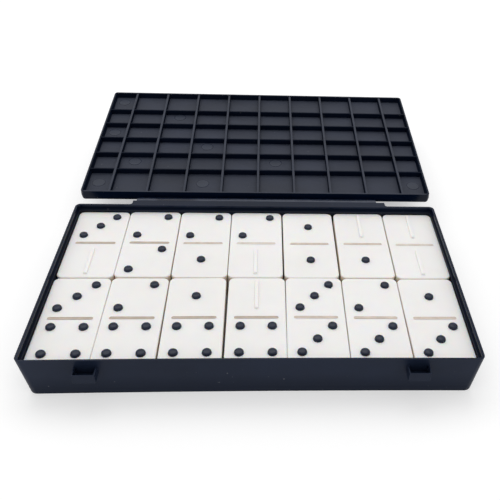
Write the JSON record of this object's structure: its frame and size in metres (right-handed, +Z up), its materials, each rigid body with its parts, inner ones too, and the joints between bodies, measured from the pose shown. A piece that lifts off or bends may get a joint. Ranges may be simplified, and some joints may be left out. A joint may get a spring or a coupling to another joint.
{
  "type": "domino storage box",
  "caption": "Flat hinged plastic box with a ribbed lid and two front catch pockets, packed with layered rows of white dominoes with black pips.",
  "frame": {"origin": "centre of the tray's underside", "axes": "+Z up out of the tray, +Y from the catch pockets towards the hinge and the open lid, +X to the right"},
  "size_m": [0.1822, 0.2222, 0.0271],
  "materials": {
    "black_plastic": "moulded black polypropylene, semi-gloss",
    "hinge_plastic": "thin flexed polypropylene film, glossy with faint stress marks",
    "white_plastic": "moulded white plastic, smooth satin",
    "pip_enamel": "gloss black enamel"
  },
  "bodies": {
    "tray": {"tray": "black_plastic", "hinge_film": "hinge_plastic"},
    "lid": {"lid": "black_plastic"},
    "domino_0_6": {"domino_0_6": "white_plastic", "pips_0_6": "pip_enamel"},
    "domino_3_4": {"domino_3_4": "white_plastic", "pips_3_4": "pip_enamel"},
    "domino_1_6": {"domino_1_6": "white_plastic", "pips_1_6": "pip_enamel"},
    "domino_2_4": {"domino_2_4": "white_plastic", "pips_2_4": "pip_enamel"},
    "domino_2_6": {"domino_2_6": "white_plastic", "pips_2_6": "pip_enamel"},
    "domino_1_4": {"domino_1_4": "white_plastic", "pips_1_4": "pip_enamel"},
    "domino_3_6": {"domino_3_6": "white_plastic", "pips_3_6": "pip_enamel"},
    "domino_0_4": {"domino_0_4": "white_plastic", "pips_0_4": "pip_enamel"},
    "domino_4_6": {"domino_4_6": "white_plastic", "pips_4_6": "pip_enamel"},
    "domino_3_3": {"domino_3_3": "white_plastic", "pips_3_3": "pip_enamel"},
    "domino_5_6": {"domino_5_6": "white_plastic", "pips_5_6": "pip_enamel"},
    "domino_2_3": {"domino_2_3": "white_plastic", "pips_2_3": "pip_enamel"},
    "domino_6_6": {"domino_6_6": "white_plastic", "pips_6_6": "pip_enamel"},
    "domino_1_3": {"domino_1_3": "white_plastic", "pips_1_3": "pip_enamel"},
    "domino_4_4": {"domino_4_4": "white_plastic", "pips_4_4": "pip_enamel"},
    "domino_0_3": {"domino_0_3": "white_plastic", "pips_0_3": "pip_enamel"},
    "domino_0_5": {"domino_0_5": "white_plastic", "pips_0_5": "pip_enamel"},
    "domino_2_2": {"domino_2_2": "white_plastic", "pips_2_2": "pip_enamel"},
    "domino_1_5": {"domino_1_5": "white_plastic", "pips_1_5": "pip_enamel"},
    "domino_1_2": {"domino_1_2": "white_plastic", "pips_1_2": "pip_enamel"},
    "domino_2_5": {"domino_2_5": "white_plastic", "pips_2_5": "pip_enamel"},
    "domino_0_2": {"domino_0_2": "white_plastic", "pips_0_2": "pip_enamel"},
    "domino_3_5": {"domino_3_5": "white_plastic", "pips_3_5": "pip_enamel"},
    "domino_1_1": {"domino_1_1": "white_plastic", "pips_1_1": "pip_enamel"},
    "domino_4_5": {"domino_4_5": "white_plastic", "pips_4_5": "pip_enamel"},
    "domino_0_1": {"domino_0_1": "white_plastic", "pips_0_1": "pip_enamel"},
    "domino_5_5": {"domino_5_5": "white_plastic", "pips_5_5": "pip_enamel"},
    "domino_0_0": {"domino_0_0": "white_plastic"}
  },
  "joints": [
    {"name": "lid_hinge", "type": "hinge", "parent": "tray", "child": "lid", "pos_m": [0, 0.05685, 0.0205], "axis": [-1, 0, 0], "range_deg": [-176.6, 0], "deforming": ["hinge_film"]},
    {"name": "lift_0_6", "type": "slide", "parent": "tray", "child": "domino_0_6", "axis": [0, 0, 1], "range_m": [0, 0.02]},
    {"name": "lift_3_4", "type": "slide", "parent": "domino_0_6", "child": "domino_3_4", "axis": [0, 0, 1], "range_m": [0, 0.014]},
    {"name": "lift_1_6", "type": "slide", "parent": "tray", "child": "domino_1_6", "axis": [0, 0, 1], "range_m": [0, 0.02]},
    {"name": "lift_2_4", "type": "slide", "parent": "domino_1_6", "child": "domino_2_4", "axis": [0, 0, 1], "range_m": [0, 0.014]},
    {"name": "lift_2_6", "type": "slide", "parent": "tray", "child": "domino_2_6", "axis": [0, 0, 1], "range_m": [0, 0.02]},
    {"name": "lift_1_4", "type": "slide", "parent": "domino_2_6", "child": "domino_1_4", "axis": [0, 0, 1], "range_m": [0, 0.014]},
    {"name": "lift_3_6", "type": "slide", "parent": "tray", "child": "domino_3_6", "axis": [0, 0, 1], "range_m": [0, 0.02]},
    {"name": "lift_0_4", "type": "slide", "parent": "domino_3_6", "child": "domino_0_4", "axis": [0, 0, 1], "range_m": [0, 0.014]},
    {"name": "lift_4_6", "type": "slide", "parent": "tray", "child": "domino_4_6", "axis": [0, 0, 1], "range_m": [0, 0.02]},
    {"name": "lift_3_3", "type": "slide", "parent": "domino_4_6", "child": "domino_3_3", "axis": [0, 0, 1], "range_m": [0, 0.014]},
    {"name": "lift_5_6", "type": "slide", "parent": "tray", "child": "domino_5_6", "axis": [0, 0, 1], "range_m": [0, 0.02]},
    {"name": "lift_2_3", "type": "slide", "parent": "domino_5_6", "child": "domino_2_3", "axis": [0, 0, 1], "range_m": [0, 0.014]},
    {"name": "lift_6_6", "type": "slide", "parent": "tray", "child": "domino_6_6", "axis": [0, 0, 1], "range_m": [0, 0.02]},
    {"name": "lift_1_3", "type": "slide", "parent": "domino_6_6", "child": "domino_1_3", "axis": [0, 0, 1], "range_m": [0, 0.014]},
    {"name": "lift_4_4", "type": "slide", "parent": "tray", "child": "domino_4_4", "axis": [0, 0, 1], "range_m": [0, 0.02]},
    {"name": "lift_0_3", "type": "slide", "parent": "domino_4_4", "child": "domino_0_3", "axis": [0, 0, 1], "range_m": [0, 0.014]},
    {"name": "lift_0_5", "type": "slide", "parent": "tray", "child": "domino_0_5", "axis": [0, 0, 1], "range_m": [0, 0.02]},
    {"name": "lift_2_2", "type": "slide", "parent": "domino_0_5", "child": "domino_2_2", "axis": [0, 0, 1], "range_m": [0, 0.014]},
    {"name": "lift_1_5", "type": "slide", "parent": "tray", "child": "domino_1_5", "axis": [0, 0, 1], "range_m": [0, 0.02]},
    {"name": "lift_1_2", "type": "slide", "parent": "domino_1_5", "child": "domino_1_2", "axis": [0, 0, 1], "range_m": [0, 0.014]},
    {"name": "lift_2_5", "type": "slide", "parent": "tray", "child": "domino_2_5", "axis": [0, 0, 1], "range_m": [0, 0.02]},
    {"name": "lift_0_2", "type": "slide", "parent": "domino_2_5", "child": "domino_0_2", "axis": [0, 0, 1], "range_m": [0, 0.014]},
    {"name": "lift_3_5", "type": "slide", "parent": "tray", "child": "domino_3_5", "axis": [0, 0, 1], "range_m": [0, 0.02]},
    {"name": "lift_1_1", "type": "slide", "parent": "domino_3_5", "child": "domino_1_1", "axis": [0, 0, 1], "range_m": [0, 0.014]},
    {"name": "lift_4_5", "type": "slide", "parent": "tray", "child": "domino_4_5", "axis": [0, 0, 1], "range_m": [0, 0.02]},
    {"name": "lift_0_1", "type": "slide", "parent": "domino_4_5", "child": "domino_0_1", "axis": [0, 0, 1], "range_m": [0, 0.014]},
    {"name": "lift_5_5", "type": "slide", "parent": "tray", "child": "domino_5_5", "axis": [0, 0, 1], "range_m": [0, 0.02]},
    {"name": "lift_0_0", "type": "slide", "parent": "domino_5_5", "child": "domino_0_0", "axis": [0, 0, 1], "range_m": [0, 0.014]}
  ]
}
